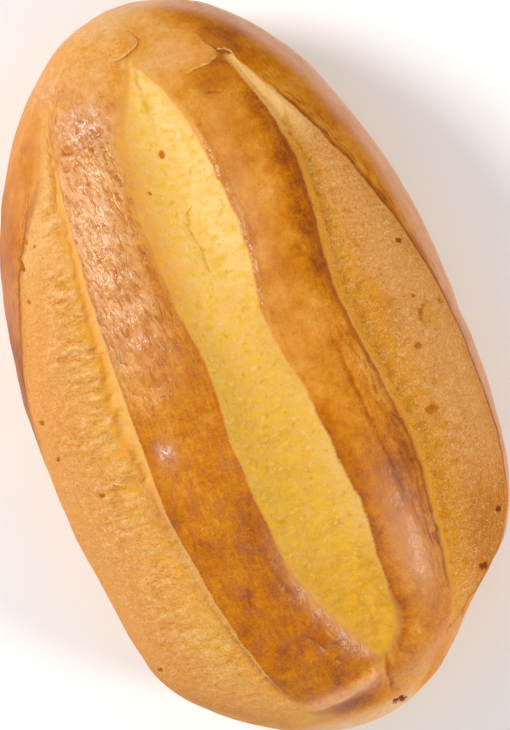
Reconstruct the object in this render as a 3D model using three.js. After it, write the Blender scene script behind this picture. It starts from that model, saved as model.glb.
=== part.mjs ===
// Saffron brioche: an oval, egg-washed loaf whose three long scores opened in the oven.
// Two raised strips of crust run between the scores, and the loaf stands on its flat base.
// Millimetres, +Z up, +Y towards the narrower end, origin under the middle of the loaf.
import * as THREE from "three";
import { ImprovedNoise } from "three/addons/math/ImprovedNoise.js";

// Overall size
const LENGTH = 160;
const WIDTH = 93; // of the plain dome
const CROWN = 58; // top of the plain dome, before the crust strips rise above it
const WAIST = 22; // height of the widest line and of the two noses
const DOME_POWER = 2.3; // above 2 the dome is fuller than an ellipse

// The flat base, an oval that the walls curve into
const BASE_LENGTH = 140;
const BASE_SHARE = 0.81; // of the width, at mid-length
const BASE_SHARE_AT_NOSE = 0.15;

// The open scores push the walls out near the blunter end. Shares are of the half width.
const LEFT_BULGE = { station: -64, share: 0.2, towardsMiddle: 15, towardsNose: 10 };
const RIGHT_BULGE = { station: -50, share: 0.14, towardsMiddle: 22, towardsNose: 7 };
const OFF_CENTRE = 0.6; // the right wall stands out further than the left one by twice this

// A place on the skin is a station along Y and an angle in degrees off the crown, negative on the -X side.
// The waist is at 90, the rim of the flat base at BASE_RIM, and 180 is the middle of the base.
const BASE_RIM = 150;

// The edges of the scores: stations, and the angle at each.
const EDGES = {
  leftOuter: {
    stations: [-76, -71, -64, -50, -25, 5, 20, 35, 49, 63],
    angles: [-36, -63, -74, -92, -92, -75, -66, -59, -50, -51],
  },
  leftInner: {
    stations: [-73, -66, -50, -37, -27, -8, 19, 35, 50, 63],
    angles: [-26, -27, -28, -31, -33, -32, -33, -35, -39, -47],
  },
  middleLeft: {
    stations: [-68, -58, -51, -42, -25, -3, 12, 32, 44, 54, 60, 67],
    angles: [16, 4, -1, -6, -8, -8, -10, -13, -14, -14, -10, -4],
  },
  middleRight: {
    stations: [-68, -61, -54, -32, -10, 6, 23, 41, 51, 60, 67],
    angles: [22, 23, 19, 16, 12, 9, 11, 10, 9, 4, -2],
  },
  rightInner: {
    stations: [-64, -55, -44, -30, -12, 8, 19, 30, 49, 62],
    angles: [56, 43, 37, 36, 33, 30, 31, 34, 37, 38],
  },
  rightOuter: {
    stations: [-66, -58, -50, -25, -5, 11, 30, 49, 62],
    angles: [79, 91, 90, 73, 70, 63, 55, 46, 40],
  },
};

// Where each score begins and ends, and the run over which it opens to its full depth
const SCORES = {
  left: { from: -77, to: 63, openOver: [16, 30] },
  middle: { from: -68, to: 67, openOver: [24, 26] },
  right: { from: -66, to: 62, openOver: [14, 24] },
};

// Relief along the normal at full opening
const STRIP_RISE = 2.4; // the crown of a crust strip above the dome
const LEFT_LIP = 1.3; // edges of the strips
const MIDDLE_ROLL = 0.8;
const MIDDLE_LIP = 1.8;
const RIGHT_LIP = 1.2;
const MIDDLE_DEPTH = 2.8; // floor of the middle score below the dome
const LEFT_FOOT = 1.6; // side scores at the foot of a strip
const RIGHT_FOOT = 1.6;
const FACE_SINK = 0.3; // side scores half way out
const RIM_LIP = 0.5; // torn edge of the outer crust
const LEFT_WALL = 5.5; // degrees between a strip's edge and the foot of the wall below it
const RIGHT_WALL = 4.5;
const LEAST_BAND = 2; // no band is narrower than this many degrees

// A long crease in the right-hand strip, at a share of the way across it
const CREASE = { share: 0.6, wide: 0.1, depth: 0.8, from: -56, to: 0, run: 14 };

// Crust that folded over the ends of the strips: a step up at a station, which fades out beyond it
const FOLD_RUN = 3;
const FOLDS = [
  { station: 53.5, from: -38, to: -15, rise: 1.1, fade: 20 },
  { station: 60.5, from: 12, to: 34, rise: 1.1, fade: 14 },
  { station: -72, from: -27, to: 14, rise: 1.4, fade: 14 },
];

// Uneven swelling of the dough: a broad one over the whole top, and a finer one on the torn faces
const SWELL = { size: 24, height: 0.9 };
const TEARS = { size: 8, height: 0.7 };

// Faces: rings along the loaf, and segments in each band round it
const RINGS = 74;
const EVEN_RINGS = 0.35; // 0 crowds the rings towards the noses, 1 spaces them evenly
const BANDS = [
  { name: "baseLeft", segments: 3 },
  { name: "sideLeft", segments: 8 },
  { name: "leftFace", segments: 10 },
  { name: "leftWall", segments: 3 },
  { name: "leftStrip", segments: 10 },
  { name: "middle", segments: 10 },
  { name: "rightStrip", segments: 10 },
  { name: "rightWall", segments: 3 },
  { name: "rightFace", segments: 10 },
  { name: "sideRight", segments: 8 },
  { name: "baseRight", segments: 3 },
];
const SEGMENTS = BANDS.reduce((sum, band) => sum + band.segments, 0);
const FAN_OUT = 8; // near a nose the bands spread out evenly over this length

const CRUST = { color: 0xc98432, roughness: 0.45, metalness: 0 };

const { clamp, degToRad, lerp, smoothstep } = THREE.MathUtils;
const noise = new ImprovedNoise();

// A smooth curve through the angles of an edge, held level past its ends
function edgeCurve({ stations, angles }) {
  const curve = new THREE.CubicInterpolant(stations, angles, 1, new Float32Array(1));
  return (y) => curve.evaluate(y)[0];
}

const edges = Object.fromEntries(Object.entries(EDGES).map(([name, points]) => [name, edgeCurve(points)]));

function bulge(y, { station, share, towardsMiddle, towardsNose }) {
  const reach = y > station ? towardsMiddle : towardsNose;
  return share * Math.exp(-0.5 * ((y - station) / reach) ** 2);
}

// Half width of the widest line on one side
function halfWidth(y, side) {
  const along = clamp(y / (LENGTH / 2), -1, 1);
  const swell = bulge(y, side < 0 ? LEFT_BULGE : RIGHT_BULGE);
  return (WIDTH / 2) * Math.sqrt(1 - along * along) * (1 + swell);
}

function domeHeight(y) {
  const along = Math.abs(clamp(y / (LENGTH / 2), -1, 1));
  return (CROWN - WAIST) * (1 - along ** DOME_POWER) ** (1 / DOME_POWER);
}

function baseHeight(y) {
  const nose = (LENGTH - BASE_LENGTH) / 2;
  const past = clamp((Math.abs(y) - BASE_LENGTH / 2) / nose, 0, 1);
  return WAIST * (1 - Math.sqrt(1 - past * past));
}

function baseHalfWidth(y, side) {
  const along = clamp(Math.abs(y) / (BASE_LENGTH / 2 + 2), 0, 1);
  return halfWidth(y, side) * lerp(BASE_SHARE_AT_NOSE, BASE_SHARE, Math.sqrt(1 - along ** 2.5));
}

// The smooth skin of the unscored loaf
function skin(y, angle) {
  const side = Math.sign(angle) || 1;
  const turn = Math.abs(angle);
  const wide = halfWidth(y, side);
  if (turn <= 90) {
    const across = Math.sin(degToRad(turn));
    const rise = Math.max(0, 1 - across ** DOME_POWER) ** (1 / DOME_POWER);
    return new THREE.Vector3(side * wide * across, y, WAIST + domeHeight(y) * rise);
  }
  const narrow = baseHalfWidth(y, side);
  const low = baseHeight(y);
  if (turn <= BASE_RIM) {
    const drop = ((turn - 90) / (BASE_RIM - 90)) * (Math.PI / 2);
    const x = narrow + (wide - narrow) * Math.cos(drop);
    return new THREE.Vector3(side * x, y, low + (WAIST - low) * (1 - Math.sin(drop)));
  }
  return new THREE.Vector3(side * narrow * (180 - turn) / (180 - BASE_RIM), y, low);
}

// Outward normal of the skin, from two short steps across it
function outward(y, angle) {
  const step = 0.5;
  const inside = LENGTH / 2 - 2 * step;
  const at = clamp(y, -inside, inside);
  const lengthwise = skin(at + step, angle).sub(skin(at - step, angle));
  const crosswise = skin(at, angle + step).sub(skin(at, angle - step));
  return lengthwise.cross(crosswise).negate().normalize();
}

function opening(y, { from, to, openOver }) {
  return smoothstep(y, from, from + openOver[0]) * (1 - smoothstep(y, to - openOver[1], to));
}

// The angles that the bands of a ring start and end at. The walls below the strips narrow as a score closes.
function bandEdges(y) {
  const leftInner = edges.leftInner(y);
  const leftFoot = leftInner - lerp(LEAST_BAND, LEFT_WALL, opening(y, SCORES.left));
  const leftOuter = Math.min(edges.leftOuter(y), leftFoot - LEAST_BAND);
  const middleLeft = edges.middleLeft(y);
  const middleRight = Math.max(edges.middleRight(y), middleLeft + LEAST_BAND);
  const rightInner = edges.rightInner(y);
  const rightFoot = rightInner + lerp(LEAST_BAND, RIGHT_WALL, opening(y, SCORES.right));
  const rightOuter = Math.max(edges.rightOuter(y), rightFoot + LEAST_BAND);
  return [-180, -BASE_RIM, leftOuter, leftFoot, leftInner, middleLeft, middleRight,
    rightInner, rightFoot, rightOuter, BASE_RIM, 180];
}

// Height above the plain skin at each band edge, and half way along each band
function bandRelief(y) {
  const left = opening(y, SCORES.left);
  const middle = opening(y, SCORES.middle);
  const right = opening(y, SCORES.right);
  const strip = STRIP_RISE * Math.max(left, middle, right);
  return {
    atEdges: [0, 0, RIM_LIP * left, -LEFT_FOOT * left, LEFT_LIP * left, MIDDLE_ROLL * middle,
      MIDDLE_LIP * middle, RIGHT_LIP * right, -RIGHT_FOOT * right, RIM_LIP * right, 0, 0],
    halfWay: [0, 0, -FACE_SINK * left, 0, strip, -MIDDLE_DEPTH * middle, strip, 0, -FACE_SINK * right, 0, 0],
  };
}

// A parabola through a band's two edges and its middle; the walls and sides are straight.
function reliefInBand({ atEdges, halfWay }, band, share) {
  const straight = lerp(atEdges[band], atEdges[band + 1], share);
  const bow = halfWay[band] ? halfWay[band] - (atEdges[band] + atEdges[band + 1]) / 2 : 0;
  return straight + 4 * bow * share * (1 - share);
}

function foldRelief(y, angle) {
  return FOLDS.reduce((sum, { station, from, to, rise, fade }) => {
    const middle = (from + to) / 2;
    const reach = (to - from) / 2;
    const across = 1 - smoothstep(Math.abs(angle - middle), reach, reach * 1.5);
    const step = smoothstep(y, station - FOLD_RUN / 2, station + FOLD_RUN / 2);
    const back = 1 - smoothstep(y, station + FOLD_RUN, station + FOLD_RUN + fade);
    return sum + rise * across * step * back;
  }, 0);
}

function creaseRelief(y, share) {
  const { from, to, run, wide, depth } = CREASE;
  const along = smoothstep(y, from, from + run) * (1 - smoothstep(y, to - run, to));
  return -depth * along * Math.exp(-(((share - CREASE.share) / wide) ** 2));
}

function bumps({ x, y, z }, { size, height }) {
  return height * noise.noise(x / size, y / size, z / size);
}

// The broad swelling dies away on the walls, so that the base stays flat.
function unevenRelief(y, angle, torn) {
  const place = skin(y, angle);
  const onTop = 1 - smoothstep(Math.abs(angle), 95, BASE_RIM - 20);
  return bumps(place, SWELL) * onTop + bumps(place, TEARS) * torn;
}

// The place on a ring of one of its vertices: its angle and its relief
function ringPlace(y, index) {
  let band = 0;
  let first = 0;
  while (band < BANDS.length - 1 && index > first + BANDS[band].segments) {
    first += BANDS[band].segments;
    band += 1;
  }
  const share = (index - first) / BANDS[band].segments;
  const marks = bandEdges(y);
  const onBand = lerp(marks[band], marks[band + 1], share);
  const even = lerp(-180, 180, index / SEGMENTS);
  const spread = smoothstep(Math.abs(y), LENGTH / 2 - FAN_OUT, LENGTH / 2);
  const angle = lerp(onBand, even, spread);
  const { name } = BANDS[band];
  const open = { leftFace: opening(y, SCORES.left), rightFace: opening(y, SCORES.right) }[name] ?? 0;
  const torn = open * 4 * share * (1 - share);
  const crease = name === "rightStrip" ? creaseRelief(y, share) : 0;
  const swell = foldRelief(y, angle) + unevenRelief(y, angle, torn);
  const relief = reliefInBand(bandRelief(y), band, share) + crease + swell;
  return { angle, relief: relief * (1 - spread) };
}

function ringStation(ring) {
  const crowded = Math.cos((Math.PI * ring) / RINGS);
  return (LENGTH / 2) * lerp(crowded, 1 - (2 * ring) / RINGS, EVEN_RINGS);
}

// The loaf is a sphere's grid of rings and meridians, with its poles at the two noses.
function loafGeometry() {
  const geometry = new THREE.SphereGeometry(1, SEGMENTS, RINGS);
  const position = geometry.getAttribute("position");
  for (let i = 0; i < position.count; i += 1) {
    const ring = Math.floor(i / (SEGMENTS + 1));
    const index = i % (SEGMENTS + 1);
    const y = ringStation(ring);
    if (ring === 0 || ring === RINGS) {
      position.setXYZ(i, 0, y, WAIST);
      continue;
    }
    const { angle, relief } = ringPlace(y, index % SEGMENTS);
    const point = skin(y, angle).addScaledVector(outward(y, angle), relief);
    position.setXYZ(i, point.x, point.y, point.z);
  }
  geometry.translate(-OFF_CENTRE, 0, 0);
  geometry.deleteAttribute("uv");
  geometry.computeVertexNormals();
  return geometry;
}

const loaf = new THREE.Mesh(loafGeometry(), new THREE.MeshStandardMaterial(CRUST));
loaf.name = "loaf";

const brioche = new THREE.Group();
brioche.add(loaf);

export default brioche;
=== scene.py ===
import math

import bpy
import numpy as np
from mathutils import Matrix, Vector, noise


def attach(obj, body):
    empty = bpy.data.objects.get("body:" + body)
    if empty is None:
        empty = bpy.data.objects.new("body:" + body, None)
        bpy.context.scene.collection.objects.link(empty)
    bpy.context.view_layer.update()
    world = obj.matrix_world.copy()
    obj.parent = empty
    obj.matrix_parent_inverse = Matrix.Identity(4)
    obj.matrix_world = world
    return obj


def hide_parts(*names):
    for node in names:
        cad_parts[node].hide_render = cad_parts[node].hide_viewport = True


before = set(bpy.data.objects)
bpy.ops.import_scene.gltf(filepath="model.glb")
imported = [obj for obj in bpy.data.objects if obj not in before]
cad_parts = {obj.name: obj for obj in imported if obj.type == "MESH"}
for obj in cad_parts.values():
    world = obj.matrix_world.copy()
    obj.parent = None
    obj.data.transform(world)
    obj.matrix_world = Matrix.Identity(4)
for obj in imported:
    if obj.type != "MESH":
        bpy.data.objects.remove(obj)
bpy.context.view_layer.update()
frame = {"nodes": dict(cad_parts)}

print("frame loaded:", ", ".join(frame["nodes"]))

# the loaf's plain form, in millimetres; a place on it is a station along Y and an angle off the crown
# (negative on the left, 90 at the widest line, 180 under the middle)
loaf = {
    "length": 160.0,
    "width": 93.0,
    "crown": 58.0,
    "waist": 22.0,
    "fullness": 2.3,  # 2 would be a plain ellipse
    "baseLength": 140.0,
    "baseShare": (0.15, 0.81),  # of the width, at a nose and at mid-length
    "baseRim": 150.0,
    "leftBulge": (-64, 0.20, 15, 10),  # station, share, reach to the middle, reach to the nose
    "rightBulge": (-50, 0.14, 22, 7),
    "offCentre": 0.6,
    "rings": 330,
    "evenRings": 0.5,
    "noseRun": 8.0,  # the bands even out over the last stretch to each nose
    # bands round the loaf, with the columns of each
    "bands": {"baseLeft": 8, "sideLeft": 28, "leftFace": 46, "leftWall": 8, "leftStrip": 40, "middle": 36,
              "rightStrip": 40, "rightWall": 8, "rightFace": 46, "sideRight": 28, "baseRight": 8},
}
bandAt = {name: i for i, name in enumerate(loaf["bands"])}

# edges of the three scores: (station, angle)
scores = {
    "leftOuter": (
        (-76, -36), (-71, -63), (-64, -74), (-50, -92), (-25, -92), (5, -75), (20, -66), (35, -59.5),
        (49, -50), (63, -50),
    ),
    "leftFoot": (
        (-73, -28.2), (-68, -29.6), (-60, -29.8), (-52, -31.4), (-45, -33.4), (-35, -35.4), (-25, -36.4),
        (-16, -37.2), (-9, -38.5), (-3, -39.3), (4, -39), (13.5, -38.5), (23.5, -38.5), (39, -40.2),
        (50, -42.2), (63, -49),
    ),
    "leftInner": (
        (-73, -26.5), (-66.5, -27.5), (-62.4, -27), (-50.2, -28.6), (-36.9, -31.3), (-27, -32.8),
        (-7.6, -32.4), (19, -33.3), (34.7, -35.2), (50, -39.6), (61.3, -47),
    ),
    "middleLeft": (
        (-67, 17), (-64.7, 12.7), (-58, 3.8), (-51.3, -1.5), (-42.4, -5.9), (-32, -7.6), (-25.3, -8.5),
        (-14, -9), (-3, -8.4), (4.7, -8.9), (12.4, -10.7), (21.3, -12), (32.4, -13.3), (43.5, -14.5),
        (53.5, -14.6), (60, -10.1), (65.8, -4.8),
    ),
    "middleRight": (
        (-67.4, 20), (-61.3, 23.2), (-53.6, 19.6), (-43.6, 17.5), (-32.4, 16.3), (-27.6, 15.4), (-18.7, 14),
        (-9.8, 12.7), (-2, 10.7), (5.8, 9.1), (14.7, 9.9), (23.5, 11.3), (32.4, 11.2), (41.3, 10.3),
        (51.3, 8.9), (60.2, 4.3), (66.3, -2.4),
    ),
    "rightInner": (
        (-62.4, 55.2), (-54.7, 43), (-43.6, 37.3), (-30, 35.8), (-22, 34.8), (-12, 32.9), (-3, 31.4),
        (8, 29.7), (19, 31.3), (30, 34.2), (39, 36.0), (49, 35.8), (62, 36.6),
    ),
    "rightOuter": (
        (-65, 72), (-58, 77), (-50, 76), (-42, 73.8), (-25, 72.5), (-5, 70), (11, 63), (30, 54.8),
        (49, 45.4), (62, 38.8),
    ),
}

# where each score begins and ends, and over how long it opens
openings = {
    "left": (-77, 63, 16, 30),
    "middle": (-68, 67, 24, 26),
    "right": (-66, 62, 14, 24),
}

# where the crumb of each score ends
crumbEnds = {"left": (-75.5, 62.5), "middle": (-67, 66.5), "right": (-64.5, 61.8)}

# heights along the normal at full opening
heights = {
    "strip": 2.4,
    "leftLip": 1.3,
    "middleRoll": 0.8,
    "middleLip": 1.8,
    "rightLip": 1.2,
    "middleFloor": -2.8,
    "leftTorn": -0.3,  # edge of the torn layer
    "leftFoot": -1.2,
    "rightFoot": -0.5,
    "bead": 0.4,  # along the right-hand lip of the middle score
    "face": 0.15,
    "rim": 0.5,
    "rimReach": (0.03, 0.05),  # share of the band, on the crumb and on the crust
    "rightWall": 3.4,  # degrees
    "leastBand": 2.0,  # degrees
}

# small things seen from above: places and sizes in millimetres
details = {
    # layers of crust that end in an edge, raised to the left of the path and browner to its right, which is
    # partly
    # a painted shadow below the edge: path, rise, reach, how much browner
    "flakes": (
        (((6.5, 60.6), (9.1, 60.6), (11.5, 60.8), (13.7, 61.2), (15.8, 62.1), (15.2, 63.3),
          (14.4, 64.6), (12.8, 67.2)), 1.0, 6.0, 0.3),
        (((-7.2, 68.6), (-5.4, 68.2), (-3.4, 68), (-1.6, 68.7), (0.15, 69.4), (0.7, 70.9),
          (-0.6, 74.2)), 0.7, 4.5, 0.06),
        (((15.4, 63.4), (17.4, 62.6), (19.3, 61.2)), 0.6, 2.2, 0.1),
    ),
    # creases, and ridges where the depth is below zero: path, half width, depth, half width of the dark line
    # (painted shade in the crack; no line below zero), how much browner (painted shade in grooves and, below
    # zero, painted highlight on ridges, besides the crust's own browning)
    "creases": (
        (((-1.8, 68), (-2.4, 63.5), (-2.7, 60.5), (-2.5, 56), (-2.1, 51)), 0.7, -0.5, -1, 0),
        (((1.6, 36), (1.0, 35), (-0.8, 34.1), (-2.0, 30.7), (-1.4, 28), (-0.9, 26.1), (-0.8, 23.6),
          (-1.0, 22.1), (-0.6, 18)), 0.7, 0.3, 0.26, 0),
        (((-1, 22), (2.2, 21.4), (4.6, 22)), 0.6, 0.2, -0.02, 0),
        (((7.1, -50), (7.2, -54), (7.5, -59.7), (8.3, -65)), 0.7, 0.3, 0.02, 0),
        (((8.4, -65), (7.2, -68.5), (6.9, -72), (6.8, -76)), 0.6, 0.5, 0.06, 0),
        (((-21.6, 63), (-22.7, 59.8), (-23.3, 56.4), (-24.1, 52.4), (-24.9, 49.4), (-26.2, 45),
          (-27, 40)), 0.5, 0.6, 0.12, 0),
        (((-23, 53.4), (-19.5, 53), (-16.6, 53.2), (-14.6, 54.4), (-11, 55)), 1.1, 1.5, 0.08, 0.2),
        (((-22.6, 51.8), (-19.4, 51.3), (-17, 51.4), (-14.2, 52.8), (-10.4, 53.4)), 0.9, -0.9, -1, -0.12),
        (((18.2, 4), (19.6, -8), (20.6, -18), (22, -30), (22.8, -44)), 0.6, 0.5, 0.02, 0.15),
        (((24.8, -16), (25.6, -28), (25, -40), (24, -50)), 0.9, 0.5, -1, 0.1),
        (((22.8, -24), (23.6, -34), (23.4, -44)), 0.6, 0.4, 0.0, 0),
        (((30.4, -60.4), (26.5, -63.4), (23.4, -65.6), (20, -67.6)), 0.6, 0.8, 0.14, 0),
        (((-14, -70), (-11.3, -71), (-7, -71.4), (-2.6, -70.7), (1.5, -69.8), (5.2, -68.6),
          (7.4, -67.2)), 1.2, -1.1, -1, -0.5),
        (((-14.8, -42.6), (-15.2, -45.6), (-14.6, -48.4)), 0.4, 0.4, 0.0, 0.12),
        (((-8.2, -41), (-7.8, -44.6), (-6.6, -47.6)), 0.4, 0.35, -0.03, 0.12),
        (((-7, -56.6), (-4.4, -58.6), (-2.6, -61.8)), 0.4, 0.35, -0.03, 0.12),
        (((-3.2, -55.4), (-1.4, -58.8), (0.2, -60.6)), 0.5, -0.35, -1, -0.12),
        (((17.0, 21.5), (17.7, 18.8), (18.0, 16.4)), 0.5, -0.35, -1, 0.1),
        (((12.6, 38.8), (14.4, 38.2), (16, 37.2)), 0.6, -0.35, -1, 0.1),
        (((10.8, 55.2), (12.4, 54.8), (14, 54.4)), 0.4, 0.3, 0.02, 0.1),
        (((-11, -74.6), (-6, -75.6), (0, -75.2), (3, -74)), 1.2, 0.2, -1, 0.14),
    ),
    # x, y, half sizes, depth, darkness (painted shade inside the hole)
    "pits": (
        (39.4, -3.0, 2.2, 2.9, 0.4, 0.05), (29.2, 6.3, 2.5, 2.2, 0.25, 0.02),
        (38.1, 13.8, 0.6, 0.6, 0.5, 0.7), (37.2, 2.1, 0.5, 0.5, 0.4, 0.4),
        (42.6, -0.7, 0.5, 0.5, 0.4, 0.5), (35.0, -8.1, 0.9, 0.7, 0.4, 0.35),
        (40.0, -46.0, 0.8, 0.7, 0.7, 0.9), (33.3, -56.2, 1.0, 0.9, 0.7, 0.9),
        (38.9, -40.2, 1.1, 0.9, 0.3, 0.16), (33.5, -21.5, 1.4, 1.0, 0.7, 0.3),
        (28.8, -19.0, 1.0, 1.6, 0.5, 0.1), (-43.9, 2.3, 0.5, 0.5, 0.4, 0.5),
        (-43.4, -6.0, 0.5, 0.5, 0.4, 0.5), (-36.9, -16.0, 0.8, 0.5, 0.4, 0.4),
        (-33.6, -15.2, 0.5, 0.4, 0.4, 0.4), (-38.0, -54.7, 0.7, 0.6, 0.4, 0.5),
        (-37.3, 34.3, 0.5, 1.3, 0.9, 0.6), (-33.5, 37.3, 0.5, 0.6, 0.5, 0.3),
        (-38.6, 26.9, 0.45, 0.5, 0.4, 0.45), (-35.2, 38.8, 0.4, 0.5, 0.4, 0.3),
        (-4.4, 9.3, 1.0, 0.8, 0.4, 0.1), (-5.0, 14.7, 1.1, 0.9, 0.3, 0.08),
        (3.7, 10.6, 1.2, 0.8, 0.4, 0.1), (-2.0, 47.2, 0.55, 1.0, 0.7, 0.3),
        (-6.9, 39.7, 0.5, 0.35, 0.4, 0.5), (-21.9, 49.1, 0.5, 0.4, 0.3, 0.4),
        (-1.9, -63.0, 0.6, 0.6, 0.4, 0.6), (7.6, -77.2, 1.7, 0.75, 2.0, 1.0),
    ),
    "nearPath": 1.5,  # how near to a path its edge is drawn
    "noEdge": 9.0,  # distance that stands for no edge nearby
    # large pits get a painted shade on their far wall
    "largePit": 2.0,  # half width from which a pit shades its own far wall
}


def ramp(x, low, high):
    t = np.clip((x - low) / (high - low), 0, 1)
    return t * t * (3 - 2 * t)


def fall(x, low, high):
    return 1 - ramp(x, low, high)


# up from start to full, and down again from fade to end
def run(x, start, full, fade, end):
    return ramp(x, start, full) * fall(x, fade, end)


def blend(a, b, t):
    return a + (b - a) * t


def bell(x, wide):
    return np.exp(-((x / wide) ** 2))


# from a to b, by way of a middle height
def arch(a, b, middle, t):
    return blend(a, b, t) + 4 * t * (1 - t) * (middle - (a + b) / 2)


def spot(x, y, atX, atY, wide, tall):
    return np.exp(-(((x - atX) / wide) ** 2) - ((y - atY) / tall) ** 2)


# a value for each band that is named, and the plain one for the others
def byBand(band, plain, **values):
    result = np.zeros(band.shape) + plain
    for name, value in values.items():
        result = np.where(band == bandAt[name], value, result)
    return result


def curveThrough(points, y):
    station, value = np.array(points, float).T
    slope = np.gradient(value, station)
    y = np.clip(y, station[0], station[-1])
    i = np.clip(np.searchsorted(station, y) - 1, 0, len(station) - 2)
    gap = station[i + 1] - station[i]
    t = (y - station[i]) / gap
    return ((2 * t**3 - 3 * t**2 + 1) * value[i] + (t**3 - 2 * t**2 + t) * gap * slope[i]
            + (3 * t**2 - 2 * t**3) * value[i + 1] + (t**3 - t**2) * gap * slope[i + 1])


def bumps(place, size, shift=0.0):
    return np.array([noise.noise(p) for p in (place / size + shift).tolist()])


def bulge(y, kind):
    station, share, inward, outward = loaf[kind]
    return share * np.exp(-0.5 * ((y - station) / np.where(y > station, inward, outward)) ** 2)


def halfWidth(y, side):
    along = np.clip(y / (loaf["length"] / 2), -1, 1)
    swell = np.where(side < 0, bulge(y, "leftBulge"), bulge(y, "rightBulge"))
    return loaf["width"] / 2 * np.sqrt(1 - along**2) * (1 + swell)


def skin(y, angle):
    side = np.where(angle < 0, -1.0, 1.0)
    turn = np.abs(angle)
    along = np.abs(np.clip(y / (loaf["length"] / 2), -1, 1))
    wide = halfWidth(y, side)
    across = np.sin(np.radians(np.minimum(turn, 90)))
    full = loaf["fullness"]
    dome = (loaf["crown"] - loaf["waist"]) * (1 - along**full) ** (1 / full)
    topZ = loaf["waist"] + dome * np.maximum(0, 1 - across**full) ** (1 / full)
    # lower wall and base
    past = np.clip((np.abs(y) - loaf["baseLength"] / 2) / ((loaf["length"] - loaf["baseLength"]) / 2), 0, 1)
    low = loaf["waist"] * (1 - np.sqrt(1 - past**2))
    inBase = np.clip(np.abs(y) / (loaf["baseLength"] / 2 + 2), 0, 1)
    narrow = wide * blend(*loaf["baseShare"], np.sqrt(1 - inBase**2.5))
    rim = loaf["baseRim"]
    drop = np.clip((turn - 90) / (rim - 90), 0, 1) * math.pi / 2
    wallX = narrow + (wide - narrow) * np.cos(drop)
    wallZ = low + (loaf["waist"] - low) * (1 - np.sin(drop))
    x = np.where(turn <= 90, wide * across, np.where(turn <= rim, wallX, narrow * (180 - turn) / (180 - rim)))
    z = np.where(turn <= 90, topZ, np.where(turn <= rim, wallZ, low))
    return np.stack([side * x, y + 0 * angle, z], -1)


def outward(y, angle):
    at = np.clip(y, -loaf["length"] / 2 + 1, loaf["length"] / 2 - 1)
    across = skin(at, angle + 0.5) - skin(at, angle - 0.5)
    normal = np.cross(across, skin(at + 0.5, angle) - skin(at - 0.5, angle))
    return normal / np.linalg.norm(normal, axis=-1, keepdims=True)


def opening(y, name):
    start, end, first, last = openings[name]
    return run(y, start, start + first, end - last, end)


# a ragged line: a slow and a quick wander, in degrees
def wander(y, amount, shift):
    line = np.unique(y)
    place = np.stack([line, 0 * line + shift, 0 * line], -1)
    ragged = bumps(place, 6.0) + 0.55 * bumps(place, 2.3, 11.0)
    return amount * np.interp(y, line, ragged)


# lobes of the torn layer that hangs over the wall of the left strip
def tornLobes(y):
    line = np.unique(y)
    place = np.stack([line, 0 * line, 0 * line + 5.5], -1)
    notches = 0.75 * bell(bumps(place, 4.2), 0.13) + 0.4 * bell(bumps(place, 1.7, 30.0), 0.15)
    strength = 1.0 + 2.8 * run(line, -20, -10, 12, 20) + 0.9 * ramp(line, 12, 22)
    return np.interp(y, line, (0.35 - notches) * strength)


# angles where the bands of each ring start and end
def bandMarks(y):
    least = heights["leastBand"]
    leftInner = curveThrough(scores["leftInner"], y) + wander(y, 0.35, 3)
    leftFoot = np.minimum(curveThrough(scores["leftFoot"], y) + tornLobes(y), leftInner - least * 0.6)
    leftOuter = np.minimum(curveThrough(scores["leftOuter"], y) + wander(y, 1.1, 9), leftFoot - least)
    middleLeft = curveThrough(scores["middleLeft"], y) + wander(y, 0.5, 15)
    middleRight = np.maximum(curveThrough(scores["middleRight"], y) + wander(y, 0.7, 21), middleLeft + least)
    rightInner = curveThrough(scores["rightInner"], y) + wander(y, 0.6, 27)
    rightFoot = rightInner + blend(least, heights["rightWall"], opening(y, "right"))
    rightOuter = np.maximum(curveThrough(scores["rightOuter"], y) + wander(y, 0.9, 33), rightFoot + least)
    flat = np.full_like(y, loaf["baseRim"])
    half = np.full_like(y, 180.0)
    return np.stack([-half, -flat, leftOuter, leftFoot, leftInner, middleLeft, middleRight, rightInner,
                     rightFoot, rightOuter, flat, half])


# height above the plain skin, from the share across each band
def bandRelief(y, band, share):
    left, middle, right = (opening(y, name) for name in openings)
    strip = heights["strip"] * np.maximum(np.maximum(left, middle), right)
    leftLip, leftTorn = heights["leftLip"] * left, heights["leftTorn"] * left
    leftFoot = heights["leftFoot"] * left * (0.5 + 0.5 * ramp(y, -30, -12))
    middleRoll, middleLip = heights["middleRoll"] * middle, heights["middleLip"] * middle
    rightLip, rightFoot = heights["rightLip"] * right, heights["rightFoot"] * right
    rim, face = heights["rim"], heights["face"] * 4 * share * (1 - share)
    leftCrisp = left * ramp(y, -12, 8)
    onCrumb, onCrust = heights["rimReach"]

    leftFace = rim * leftCrisp * np.exp(-share / onCrumb) + leftTorn * share**2 + face * left
    inWall = np.clip((share - 0.25) / 0.75, 0, 1) ** 1.2
    leftWall = np.where(share < 0.25, blend(leftTorn, leftFoot, share / 0.25),
                        blend(leftFoot, leftLip, inWall))
    leftStrip = arch(leftLip, middleRoll, strip, share)
    middleBand = arch(middleRoll, middleLip, heights["middleFloor"] * middle, share**1.2)
    rightStrip = arch(middleLip, rightLip, strip, share)
    rightStrip += heights["bead"] * middle * ramp(y, -6, 6) * bell(share - 0.06, 0.035)
    rightWall = blend(rightLip, rightFoot, ramp(share, 0, 1))
    rightFace = rightFoot * (1 - share) ** 2 + rim * right * np.exp(-(1 - share) / onCrumb) + face * right
    leftSide = rim * leftCrisp * np.exp(-(1 - share) / onCrust)
    rightSide = rim * right * np.exp(-share / onCrust)
    return byBand(band, 0, sideLeft=leftSide, leftFace=leftFace, leftWall=leftWall, leftStrip=leftStrip,
                  middle=middleBand, rightStrip=rightStrip, rightWall=rightWall, rightFace=rightFace,
                  sideRight=rightSide)


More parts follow.
